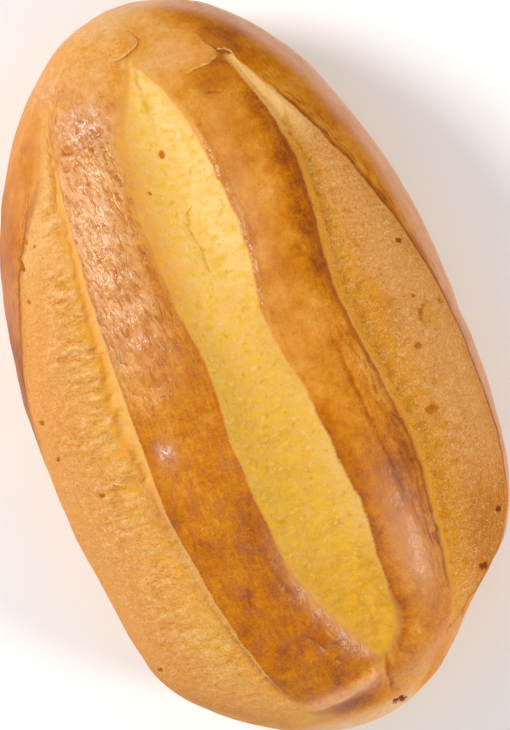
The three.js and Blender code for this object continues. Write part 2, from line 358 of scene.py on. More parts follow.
# distance to a path, the same with a sign (+ to its left), and how far along it
def alongPath(path, x, y):
    points = np.array(path, float)
    runs = np.diff(points, axis=0)
    steps = np.linalg.norm(runs, axis=1)
    lefts = np.stack([-runs[:, 1], runs[:, 0]], -1) / steps[:, None]
    best = np.full_like(x, 1e9)
    side = np.ones_like(x)
    along = np.zeros_like(x)
    for i, step in enumerate(steps):
        ux, uy = runs[i] / step
        ax, ay = points[i]
        t = np.clip((x - ax) * ux + (y - ay) * uy, 0, step)
        dx, dy = x - ax - t * ux, y - ay - t * uy
        away = np.hypot(dx, dy)
        # at a corner, the side is taken from both runs that meet there
        before, after = lefts[max(i - 1, 0)] + lefts[i], lefts[min(i + 1, len(steps) - 1)] + lefts[i]
        leftX = np.where(t <= 0, before[0], np.where(t >= step, after[0], lefts[i][0]))
        leftY = np.where(t <= 0, before[1], np.where(t >= step, after[1], lefts[i][1]))
        nearer = away < best
        best = np.where(nearer, away, best)
        side = np.where(nearer, np.where(dx * leftX + dy * leftY >= 0, 1, -1), side)
        along = np.where(nearer, (steps[:i].sum() + t) / steps.sum(), along)
    return best, side * best, along


# heights of flakes, creases and pits, and what the finish needs to draw their edges
def smallRelief(x, y, wobble):
    near, none = details["nearPath"], details["noEdge"]
    lift, browner, flakeShow, pitDark, pitShade = np.zeros((5, len(x)))
    pitSide, crackSide = np.full((2, len(x)), none)
    flakeSide, crackWidth = np.full((2, len(x)), -none)
    nearest = np.full_like(x, near)
    x, y = x + wobble[0], y + wobble[1]
    for path, rise, reach, brown in details["flakes"]:
        away, side, along = alongPath(path, x, y)
        around = spot(x, y, *path[len(path) // 2], reach, reach)
        lift += rise * around * ramp(side, -0.25, 0.3)
        flakeSide = np.where((away < near) & (along > 0.02) & (along < 0.98), side, flakeSide)
        flakeShow = np.where(away < near, np.maximum(flakeShow, run(along, 0.0, 0.3, 0.7, 1.0)), flakeShow)
        browner += brown * around * fall(side, -0.3, 0.2)
    for path, wide, deep, line, brown in details["creases"]:
        away, side, along = alongPath(path, x, y)
        ends = run(along, 0.0, 0.22, 0.78, 1.0)
        groove = ends * bell(away, wide)
        lift -= deep * groove
        browner += brown * groove
        if line >= 0:
            nearer = away < nearest
            crackSide = np.where(nearer, side, crackSide)
            crackWidth = np.where(nearer, (line + 0.12) * (1.5 * ends - 0.5), crackWidth)
            nearest = np.minimum(nearest, away)
    for atX, atY, wide, tall, deep, darkness in details["pits"]:
        out = np.hypot((x - atX) / wide, (y - atY) / tall)
        lift -= 0.9 * deep * fall(out, 0.5, 1.05)
        # large pits get a painted shade crescent on their upper left wall
        if wide > details["largePit"]:
            turn = ((y - atY) / tall - (x - atX) / wide) / 1.4
            shaded = ramp(turn, 0.1, 0.75) * run(out, 0.55, 0.9, 0.95, 1.1)
            pitShade = np.maximum(pitShade, shaded * min(1, deep / 0.4))
        side = (out - 1) * min(wide, tall)
        pitDark = np.where(side < pitSide, darkness, pitDark)
        pitSide = np.minimum(side, pitSide)
    return lift, {"browner": browner, "flakeSide": flakeSide, "flakeShow": flakeShow, "crackSide": crackSide,
                  "crackWidth": crackWidth, "pitSide": pitSide, "pitDark": pitDark, "pitShade": pitShade}


# signed distance to the crust's edge (+ on the crust), and how soft that edge is
def crustEdges(y, angle, marks, perDegree):
    # the marks without the base and the feet of the walls
    leftOuter, leftInner, middleLeft, middleRight, rightInner, rightOuter = marks[[2, 4, 5, 6, 7, 9]]
    softness = (
        blend(2.0, 0.35, ramp(y, -5, 10)) + 2.2 * ramp(y, 38, 50),
        blend(0.8, 0.22, ramp(y, -70, -62)) + ramp(y, 44, 56),
        0.45 + 1.3 * ramp(y, 5, 30) + 2.2 * fall(y, -52, -34),
        0.3 + 1.5 * fall(y, -62, -50) + 1.6 * ramp(y, 42, 56),
        blend(1.5, 0.6, ramp(y, -62, -50)),
        blend(0.9, 0.35, ramp(y, -62, -52)),
    )
    parts = [part * perDegree for part in (
        leftOuter - angle, angle - leftInner, middleLeft - angle, angle - middleRight, rightInner - angle,
        angle - rightOuter)]
    edges = []
    for i, (low, high) in enumerate(crumbEnds.values()):
        across = np.maximum(parts[2 * i], parts[2 * i + 1])
        edges.append(np.maximum(across, np.maximum(y - high, low - y)))
    nearest = np.argmin(np.abs(np.stack(parts)), axis=0)
    soft = np.maximum(np.choose(nearest, softness), 3.0 * fall(y, -74, -66))
    return np.minimum.reduce(edges), soft


# how browned the crust is, from 0, pale, to 1, deep brown
baking = {
    "plain": 0.42,
    "leftStrip": (0.74, 0.46),  # at its blunt end and past the middle
    "rightStrip": 0.52,
    "wall": 0.22,
    "base": 0.62,
    "endWall": 0.12,
    "deep": 0.64,
    "deepReach": 6.5,
    "deepRight": ((11, 75), (18, 69), (26, 58), (34, 44), (40, 28), (44, 10), (46, -10), (45, -30),
                  (41, -48)),
    # x, y, half sizes, how much browner
    "patches": (
        (-18, 66, 11, 9, -0.08), (5, 66, 9, 7, -0.12), (-2, 76, 12, 5, -0.2), (18, 52, 7, 8, 0.04),
        (-30, 58, 8, 10, 0.20), (-41, 42, 6, 16, 0.34), (-46, 14, 6, 30, 0.46), (22, -34, 6, 16, 0.22),
        (0, -74.0, 8, 2.2, 0.4), (8, 54, 4, 4, -0.12), (-35, 48, 5, 8, 0.14), (16, -70, 7, 4, 0.16),
        (-4, -67, 8, 3, 0.12), (-45, 8, 5, 12, 0.12), (20, -31, 5, 8, 0.08),
    ),
}


def browning(x, y, angle, band, share):
    turn = np.abs(angle)
    leftStrip = (blend(*baking["leftStrip"], ramp(y, -30, 22)) - 0.12 * ramp(y, 28, 42)
                 + 0.08 * spot(x, y, -10, -46, 10, 10)
                 + 0.16 * ramp(x, -15, -10) * run(y, -8, 8, 36, 48))
    rightStrip = (baking["rightStrip"] + 0.33 * ramp(x, 16, 22) * ramp(y, -12, 24)
                  + 0.05 * spot(x, y, 14, 50, 9, 9) + 0.06 * spot(x, y, 26, -28, 4.5, 18)
                  + 0.06 * fall(y, -60, -36) + 0.22 * fall(share, 0.05, 0.3) * fall(y, -20, -4))
    plain = baking["plain"]
    brown = byBand(band, plain, leftStrip=blend(plain, leftStrip, run(y, -76, -71, 46, 58)),
                   rightStrip=blend(plain, rightStrip, run(y, -73, -63, 58, 66)))
    for *where, more in baking["patches"]:
        brown += more * fall(turn, 82, 122) * spot(x, y, *where)
    away = alongPath(baking["deepRight"], x, y)[0]
    deep = bell(away, baking["deepReach"]) * fall(turn, 76, 92)
    brown = blend(brown, baking["deep"], deep * byBand(band, 1.0, rightStrip=ramp(y, 58, 68)))
    # pale walls, and a browner base
    wall = ramp(turn - np.where(angle < 0, 6, 0), 84, 118) * (1 - 0.4 * ramp(y, 20, 60))
    brown = blend(brown, baking["wall"], wall)
    brown = blend(brown, baking["base"], ramp(turn, 128, 158) * fall(np.abs(y), 62, 74))
    return blend(brown, baking["endWall"], fall(y, -78, -75.5) * (turn < 100))


# painted sheen and blisters of the egg wash: a pale, pinkish painted reflection in places; strengths from 0
# to about 1
eggWash = {
    # x, y, half sizes, strength
    "sheen": (
        (-16, 57.5, 7, 5, 1.1), (-20, 67, 9, 6, 0.5), (-27, 60, 5, 9, 0.3), (20.5, -44, 4.5, 14, 0.9),
        (-4, -71.0, 10, 1.6, 1.4), (-44, 30, 7, 18, 0.6), (25, -34, 3, 14, 0.12), (11, 30, 3, 20, 0.4),
        (-21.4, -12.4, 2.0, 3.0, 1.0), (12, 64, 6, 4, 0.2), (16, -70, 7, 4, 0.4), (25, -68, 6, 5, 0.7),
        (-10, -77, 14, 2, 0.6), (-35, 48, 6, 10, 0.4),
    ),
    "blisters": ((-16, 58, 7, 5.5, 0.9), (-21, 67, 7, 4, 0.4), (-21.4, -12.4, 2.2, 3.2, 0.9)),
    "stripSheen": 0.42,
    "lowerSheen": 0.4,
    "outerSheen": 1.35,
    "outerLeft": 0.3,  # share of the outer sheen on the left
    "plainGloss": 0.2,
    "gloss": {"baseLeft": 0.05, "leftStrip": 0.3, "rightStrip": 0.22, "rightFace": 0.05, "sideRight": 0.05,
              "baseRight": 0.05},
    "dull": 0.85,  # loss of gloss on the deep brown
    "dullReach": 9.0,
}


# how much painted sheen each point gets: a pale pinkish colour that stands in for reflected light
def bloom(x, y, steep, band, share):
    bright = np.zeros_like(x)
    for *where, strength in eggWash["sheen"]:
        here = strength * spot(x, y, *where) * fall(steep, 0.95, 1.15)
        bright = np.maximum(bright, here)
    strip = eggWash["stripSheen"] * run(y, -8, 20, 46, 54) * fall(share, 0.6, 0.95)
    lowerEdge = eggWash["lowerSheen"] * ramp(share, 0.78, 0.95) * run(y, -68, -60, -44, -28)
    # painted reflection along the loaf's outer edge, most of all on the right
    outer = eggWash["outerSheen"] * run(steep, 0.42, 0.72, 0.95, 1.4) * ramp(y, -66, -50)
    outer *= blend(eggWash["outerLeft"], 1.0, ramp(x, -10, 10))
    outer *= 1 - byBand(band, 0, sideRight=fall(share, 0, 0.05) * fall(y, 40, 54))
    onStrip = byBand(band, 0, leftStrip=np.maximum(strip, lowerEdge))
    return np.maximum(np.maximum(bright, onStrip), outer)


def glazing(x, y, band, share, bright, blistered):
    glaze = byBand(band, eggWash["plainGloss"], **eggWash["gloss"])
    glaze += byBand(band, 0, leftStrip=0.24 * fall(y, -22, 0) * ramp(share, 0.05, 0.4),
                    rightStrip=0.25 * fall(y, -30, -8) * fall(x, 20, 24))
    away = alongPath(baking["deepRight"], x, y)[0]
    glaze *= 1 - eggWash["dull"] * bell(away, eggWash["dullReach"])
    return np.clip(np.maximum(np.maximum(glaze, 0.5 * bright), blistered), 0, 1)


# tones of the crumb; where none is strong it is tan
def crumbTones(x, y, band, share):
    lower = fall(y, -62, -20)
    upper = 0.9 * ramp(y, 36, 48)
    yellow = byBand(
        band, 0, leftFace=0.06 + 0.26 * ramp(share, 0.5, 0.95) + 0.5 * spot(x, y, -23.5, -50, 4, 8),
        leftWall=0.5 - 0.2 * spot(0, y, 0, -24, 1, 8), leftStrip=0.4,
        middle=(0.98 - 0.40 * fall(y, -66, -30) - 0.12 * ramp(y, 54, 66)
                - 0.5 * fall(share, 0.05, 0.42) * ramp(y, 4, 24)),
        rightStrip=0.4, rightWall=0.3, rightFace=0.08 + 0.26 * fall(share, 0.0, 0.28))
    # pockets: moist spots in the crumb, and at the foot of the left wall a painted warm shade in the notches
    pockets = byBand(
        band, 0, leftFace=0.05 + 0.4 * ramp(share, 0.8, 0.97),
        leftWall=bell(share, 0.4) * ramp(y, -24, -8) * (1 - 0.5 * ramp(y, 10, 24)),
        leftStrip=0.2, middle=0.6, rightStrip=0.3, rightWall=0.35,
        rightFace=0.1 + 0.25 * fall(share, 0.12, 0.5))
    gold = byBand(band, 0, middle=0.76 * fall(y, -20, 24) + 0.2 * fall(y, -54, -34))
    gold *= 1 - 0.6 * ramp(share, 0.6, 0.9) * ramp(y, -50, -34)
    # toast: browner crumb, and on the middle score's left slope a painted warm shade
    toast = byBand(
        band, 0, leftFace=0.1 + 0.25 * lower * fall(share, 0.0, 0.5), leftWall=0.1 * lower,
        middle=0.35 * fall(share, 0.0, 0.22) * ramp(y, -6, 16), rightWall=0.1,
        rightFace=(0.07 + 0.5 * lower * ramp(share, 0.2, 0.9) + 0.35 * ramp(share, 0.75, 1)
                   + 0.85 * spot(x, y, 37, -50, 8, 12) + 0.5 * spot(x, y, 29, -2, 4, 9)))
    # cream: paler crumb, and on the lower left wall painted light against the wall's shade
    cream = byBand(
        band, 0, leftFace=0.4 * ramp(y, 24, 40) * fall(share, 0.6, 0.9), leftWall=0.5 * fall(y, -40, -26),
        middle=(ramp(share, 0.45, 0.75) * ramp(y, 10, 26)
                + 0.6 * ramp(share, 0.8, 0.97) * run(y, -64, -56, -16, 0)),
        rightWall=upper, rightFace=upper)
    sandy = byBand(band, 0.3, leftFace=0.9, leftWall=0.9 - 0.6 * ramp(y, -26, -14), middle=0.1, rightWall=1.0,
                   rightFace=1.25 * (1 - 0.6 * ramp(y, 38, 48)))
    return {"yellow": yellow, "pockets": pockets, "gold": gold, "toast": toast, "cream": cream,
            "sandy": sandy}


# relief between the plain form and the small details: heights and sizes in millimetres
swelling = {
    "swell": ((0.55, 16.0, 0.0), (0.22, 6.0, 40.0)),  # height, size, shift of the noise
    "shreds": ((1.0, (9.0, 2.2, 8.0), 7.0), (0.5, (5.0, 1.4, 5.0), 19.0)),
    "curl": (2.4, 8.0, 25.0),
    "shredHeight": 0.72,
    "shredSink": 0.18,
    "dents": ((2.6, 1.7, 2.6), 55.0),  # sizes, shift
    "dentDepth": 0.3,
    "rippleStep": 2.9,
    "rippleHeight": 0.05,
    "wobble": (0.5, 1.7, 90.0, 130.0),  # how far small details stray, size, shifts
}


def makeLoaf():
    bpy.ops.object.select_all(action="DESELECT")
    columnsIn = np.array(list(loaf["bands"].values()))
    columns = int(columnsIn.sum())
    bpy.ops.mesh.primitive_uv_sphere_add(segments=columns, ring_count=loaf["rings"], radius=1,
                                         location=(0, 0, 0))
    ball = bpy.context.object
    ball.name = "brioche"
    count = len(ball.data.vertices)
    at = np.empty(count * 3)
    ball.data.vertices.foreach_get("co", at)
    at = at.reshape(-1, 3)
    ring = np.rint(np.arccos(np.clip(at[:, 2], -1, 1)) / math.pi * loaf["rings"]).astype(int)
    column = np.rint(np.arctan2(at[:, 1], at[:, 0]) / (2 * math.pi) * columns).astype(int) % columns
    pole = (ring == 0) | (ring == loaf["rings"])

    # rings become stations and columns become angles
    half = loaf["length"] / 2
    turned = ring / loaf["rings"]
    y = half * blend(np.cos(math.pi * turned), 1 - 2 * turned, loaf["evenRings"])
    starts = np.concatenate([[0], np.cumsum(columnsIn)])
    band = np.clip(np.searchsorted(starts, column, side="right") - 1, 0, len(columnsIn) - 1)
    share = (column - starts[band]) / columnsIn[band]
    marks = bandMarks(y)
    row = np.arange(count)
    onBand = blend(marks[band, row], marks[band + 1, row], share)
    spread = ramp(np.abs(y), half - loaf["noseRun"], half)
    angle = blend(onBand, -180 + 360 * column / columns, spread)

    normal = outward(y, angle)
    place = skin(y, angle) + normal * (bandRelief(y, band, share) * (1 - spread))[:, None]
    place[:, 0] -= loaf["offCentre"]
    x = place[:, 0]
    print("loaf blocked out:", count, "points")

    # swelling, tears and ripples
    left, right = opening(y, "left"), opening(y, "right")
    tearing = byBand(band, 0, leftFace=left * ramp(share, 0.15, 0.85), rightFace=0.12 * right,
                     leftWall=0.7 * left * fall(share, 0.5, 0.9) * fall(y, -26, -16))
    swell = sum(tall * bumps(place, size, shift) for tall, size, shift in swelling["swell"])
    far, size, shift = swelling["curl"]
    curled = place + np.stack([0 * y, far * bumps(place, size, shift), 0 * y], -1)
    lumps = sum(tall * np.abs(bumps(curled, np.array(size), shift))
                for tall, size, shift in swelling["shreds"])
    size, shift = swelling["dents"]
    dents = ramp(bumps(place, np.array(size), shift), 0.16, 0.5)
    dents *= right * byBand(band, 0, rightWall=ramp(share, 0.4, 1), rightFace=fall(share, 0.3, 0.75))
    ripple = np.sin(2 * math.pi * (y / swelling["rippleStep"] + 1.6 * bumps(place, 7.0, 70.0)))
    ripple *= byBand(band, 0, leftFace=left * ramp(share, 0.4, 0.75) * run(y, -60, -48, -12, 0))
    far, size, *shifts = swelling["wobble"]
    lift, small = smallRelief(x, y, [far * bumps(place, size, shift) for shift in shifts])
    onTop = np.abs(angle) < 100
    grouped = blend(0.5, 1.2, ramp(bumps(place, 9.0, 33.0), -0.25, 0.3))
    torn = tearing * blend(0.6, 1.0, ramp(y, -34, -18)) * grouped
    relief = (swell * fall(np.abs(angle), 95, 130)
              + (swelling["shredHeight"] * lumps - swelling["shredSink"]) * torn
              + swelling["rippleHeight"] * ripple - swelling["dentDepth"] * dents + np.where(onTop, lift, 0))
    relief *= fall(np.abs(y), half - 1.5, half)
    place += normal * relief[:, None]
    place[pole] = np.stack([0 * y - loaf["offCentre"], y, 0 * y + loaf["waist"]], -1)[pole]
    ball.data.vertices.foreach_set("co", (place / 1000).ravel())
    print("crumb torn, crust folded")

    # what the finish reads, one number per point
    perDegree = np.linalg.norm(skin(y, angle + 0.5) - skin(y, angle - 0.5), axis=-1)
    edge, soft = crustEdges(y, angle, marks, perDegree)
    # painted warm shade in the hollows between torn lumps next to the left wall
    hollow = byBand(band, 0, leftFace=fall(lumps, 0.04, 0.22) * left * ramp(share, 0.72, 0.95))
    hollow *= 0.3 + 0.7 * run(y, -26, -14, 12, 24)
    # painted warm shade in dents, torn creases and the walls beside the strips, where the crumb lies in shade
    warm = 0.4 * dents + byBand(
        band, 0, leftFace=(0.8 * tearing * fall(lumps, 0.0, 0.2)
                           + 0.3 * left * ramp(share, 0.8, 0.96) * fall(y, -18, -6)),
        leftWall=0.5 * bell(share, 0.35) * run(y, -24, -8, 18, 34) + 0.4 * fall(y, -42, -28),
        rightWall=0.85, rightFace=0.65 * fall(share, 0.06, 0.42))
    warm *= 1 - 0.7 * np.where(band < bandAt["middle"], ramp(y, 34, 46), ramp(y, 38, 48))
    uneven = byBand(band, 0.55, leftStrip=1.0,
                    rightStrip=0.55 + 0.5 * np.maximum(ramp(x, 15, 22), fall(y, -50, -20)))
    leftRim = (0.5 * ramp(y, -8, 6) + 0.4 * ramp(y, 12, 26)) * fall(y, 44, 54)
    stripRim = np.where(share > 0.5, 0.8 * right,
                        0.35 * run(y, 0, 14, 34, 46) + 0.5 * run(y, -66, -56, -24, -8))
    rightRim = 1.1 * run(y, -66, -56, 46, 58)
    rimmed = byBand(band, 0, sideLeft=leftRim, leftFace=leftRim, leftStrip=0.25, rightStrip=stripRim,
                    rightWall=stripRim, rightFace=rightRim, sideRight=rightRim)
    wrinkled = byBand(band, 0, sideLeft=0.8 * run(y, 4, 24, 44, 54), sideRight=run(y, -50, -30, 50, 58),
                      rightStrip=0.8 * ramp(share, 0.5, 0.62) * run(y, -62, -50, -10, 8))
    blistered = byBand(
        band, 0, leftStrip=(run(y, -16, 12, 50, 58)
                            + 0.6 * ramp(share, 0.72, 0.9) * run(y, -68, -60, -44, -28)),
        rightStrip=0.7 * fall(share, 0.04, 0.22) * run(y, 0, 12, 44, 54))
    for *where, strength in eggWash["blisters"]:
        blistered += np.where(band <= bandAt["leftStrip"], strength * spot(x, y, *where), 0)
    blistered *= fall(np.abs(angle), 70, 90)
    bright = bloom(x, y, 1 - normal[:, 2], band, share)
    inSheen = spot(x, y, 20.5, -46, 3.5, 14)
    flank = byBand(
        band, 0, rightStrip=0.5 * ramp(x, 15, 22) * run(y, -66, -54, -16, -2) * (1 - 0.85 * inSheen),
        sideRight=0.6 * fall(share, 0.05, 0.3))
    browner = np.where(onTop, small.pop("browner"), 0)
    tones = crumbTones(x, y, band, share)
    # painted warm shade in the dents
    tones["toast"] += 0.5 * dents
    fields = {
        **tones,
        **small,
        "crustEdge": edge, "edgeSoft": soft, "hollow": hollow, "warm": warm,
        "browning": browning(x, y, angle, band, share) + browner,
        "bloom": bright,
        "glaze": glazing(x, y, band, share, bright, blistered),
        "rimmed": rimmed, "blistered": blistered, "uneven": uneven, "flank": flank, "wrinkled": wrinkled,
        "satin": byBand(band, 0, leftStrip=run(y, -70, -60, -20, 0)),
        "tears": np.clip(torn, 0, 1),
    }
    # small details are on the top alone
    none = details["noEdge"]
    for name, absent in (("pitSide", none), ("pitShade", 0), ("flakeShow", 0), ("crackWidth", -none)):
        fields[name] = np.where(onTop, small[name], absent)
    for name, values in fields.items():
        layer = ball.data.attributes.new(name, "FLOAT", "POINT")
        layer.data.foreach_set("value", np.asarray(values, float))
    ball.data.update()
    bpy.ops.object.shade_smooth()
    print("loaf shaped:", len(fields), "layers for the finish")
    return ball


# a node's output; sums and products of these add Math nodes
class Wire:
    def __init__(self, finish, socket):
        self.finish = finish
        self.socket = socket

    def sum(self, operation, a, b):
        return self.finish.node("ShaderNodeMath", {"operation": operation}, {0: a, 1: b})

    def __add__(self, other):
        return self.sum("ADD", self, other)

    def __radd__(self, other):
        return self.sum("ADD", other, self)

    def __sub__(self, other):
        return self.sum("SUBTRACT", self, other)

    def __rsub__(self, other):
        return self.sum("SUBTRACT", other, self)

    def __mul__(self, other):
        return self.sum("MULTIPLY", self, other)

    def __rmul__(self, other):
        return self.sum("MULTIPLY", other, self)

    def __truediv__(self, other):
        return self.sum("DIVIDE", self, other)

    def __rtruediv__(self, other):
        return self.sum("DIVIDE", other, self)

    def __abs__(self):
        return self.finish.node("ShaderNodeMath", {"operation": "ABSOLUTE"}, {0: self})


class Finish:
    def __init__(self, tree):
        self.tree = tree

    def put(self, socket, value):
        if isinstance(value, Wire):
            self.tree.links.new(value.socket, socket)
        else:
            socket.default_value = value

    def node(self, kind, settings=None, sockets=None, out=0):
        made = self.tree.nodes.new(kind)
        for key, value in (settings or {}).items():
            if key == "stops":
                while len(made.color_ramp.elements) < len(value):
                    made.color_ramp.elements.new(0.5)
                for element, (position, colour) in zip(made.color_ramp.elements, value):
                    element.position = position
                    element.color = colour
            else:
                setattr(made, key, value)
        for key, value in (sockets or {}).items():
            self.put(made.inputs[key], value)
        return Wire(self, made.outputs[out]) if made.outputs else None

    def layer(self, name):
        return self.node("ShaderNodeAttribute", {"attribute_name": name}, out="Fac")

    def clamp(self, value, low=0.0, high=1.0):
        return self.node("ShaderNodeClamp", None, {"Value": value, "Min": low, "Max": high})

    def step(self, value, low, high):
        return self.node("ShaderNodeMapRange", {"interpolation_type": "SMOOTHSTEP"},
                         {"Value": value, "From Min": low, "From Max": high})

    def mixed(self, a, b, share):
        return self.node("ShaderNodeMix", {"data_type": "RGBA"}, {0: share, 6: a, 7: b}, out=2)

    def tinted(self, colour, name, share):
        return self.mixed(colour, crust[name], share)

    def stretched(self, place, by):
        return self.node("ShaderNodeVectorMath", {"operation": "MULTIPLY"}, {0: place, 1: by})

    def cloud(self, place, scale, detail, rough, bent=0.0):
        return self.node("ShaderNodeTexNoise", None, {"Vector": place, "Scale": scale, "Detail": detail,
                                                      "Roughness": rough, "Distortion": bent})

    def drawn(self, place, turn, size, detail, rough, bent):
        turned = self.node("ShaderNodeMapping", {"vector_type": "TEXTURE"}, {
            "Vector": place, "Rotation": (0, 0, math.radians(turn)), "Scale": size})
        return self.cloud(turned, 1.0, detail, rough, bent)

    def dotted(self, place, scale, low, high):
        return self.step(self.cloud(place, scale, 1.0, 0.4), low, high)


def screen(red, green, blue):
    def linear(value):
        value /= 255
        return value / 12.92 if value <= 0.04045 else ((value + 0.055) / 1.055) ** 2.4
    return linear(red), linear(green), linear(blue), 1.0


crust = {
    "browned": ((0.0, screen(230, 184, 138)), (0.25, screen(228, 166, 92)), (0.45, screen(220, 146, 48)),
                (0.65, screen(202, 120, 4)), (0.82, screen(180, 97, 0)), (1.0, screen(140, 64, 2))),
    # colours for the painted sheen, the painted shade of valleys and creases, and painted glints, then edge
    # and speck colours
    "bloom": screen(221, 161, 128), "valleyShade": screen(184, 100, 30), "creaseShade": screen(138, 64, 12),
    "glint": screen(253, 222, 206), "edge": screen(150, 74, 16), "speck": screen(164, 90, 26),
    "paleEdge": screen(244, 198, 124),
    "crumbYellow": screen(236, 189, 101), "crumbGold": screen(209, 152, 30),
    "crumbTan": screen(231, 159, 84), "crumbPale": screen(252, 201, 139),
    "crumbCream": screen(251, 207, 132), "crumbBlot": screen(233, 181, 42),
    "crumbToast": screen(196, 116, 30), "pocket": screen(244, 172, 36), "pore": screen(226, 138, 30),
    "dent": screen(234, 158, 26), "lemon": screen(226, 176, 40), "dot": screen(200, 150, 20),
    "warm": screen(229, 150, 26),
    "pit": screen(136, 52, 4), "crackInCrumb": screen(196, 130, 30), "crackInCrust": screen(140, 74, 18),
    "wrinkles": ((0.8, 1.0), (2.2, 0.75), (3.7, 0.5)),  # distance from the crust's edge, strength
    # crumb colour, the layer that places it, how much of it, and how patchy
    "crumbTones": (("crumbCream", "cream", 0.9, 2.0), ("crumbGold", "gold", 0.85, 1.8),
                   ("crumbToast", "toast", 1.0, 1.5)),
    # even noise: scale, detail, roughness
    "clouds": {
        "broad": (0.11, 3.0, 0.5), "patchy": (0.34, 4.0, 0.6), "mottle": (0.9, 4.0, 0.65),
        "fine": (2.1, 3.0, 0.65), "grain": (4.6, 2.0, 0.6), "lumpy": (0.85, 1.0, 0.5),
        "waves": (0.26, 0.0, 0.5),
    },
    # noise drawn out along the loaf: turn in degrees, sizes, detail, roughness, distortion
    "drawn": {
        "strokes": (6, (0.4, 4.5, 0.9), 2.0, 0.55, 0.0), "crinkle": (16, (1.0, 3.0, 1.4), 2.5, 0.55, 0.6),
        "folds": (-12, (1.2, 4.0, 1.5), 1.0, 0.5, 0.4), "pleats": (4, (1.05, 6.5, 1.05), 2.0, 0.55, 0.3),
        "straying": (14, (2.0, 7.0, 3.0), 2.5, 0.55, 0.0),
    },
    # stretched noise: stretch, scale, detail, roughness, distortion
    "stretched": {
        "streak": ((1.0, 0.22, 1.0), 0.9, 4.0, 0.65, 0.0), "fibres": ((0.28, 1.0, 0.5), 0.85, 2.5, 0.55, 0.4),
        "dabs": ((0.55, 1.0, 1.0), 0.6, 2.0, 0.5, 0.5), "blots": ((0.8, 1.1, 1.0), 0.5, 2.0, 0.5, 0.0),
    },
    # small round dots: scale, and the noise at their edge and middle
    "dotted": {
        "pores": (1.5, 0.68, 0.73), "dots": (0.7, 0.62, 0.78), "specks": (1.6, 0.69, 0.75),
        "sparks": (2.3, 0.66, 0.8),
    },
    "layers": ("crustEdge", "edgeSoft", "tears", "blistered", "yellow", "gold", "sandy", "pockets", "uneven",
               "flank", "rimmed", "glaze", "pitDark"),
}


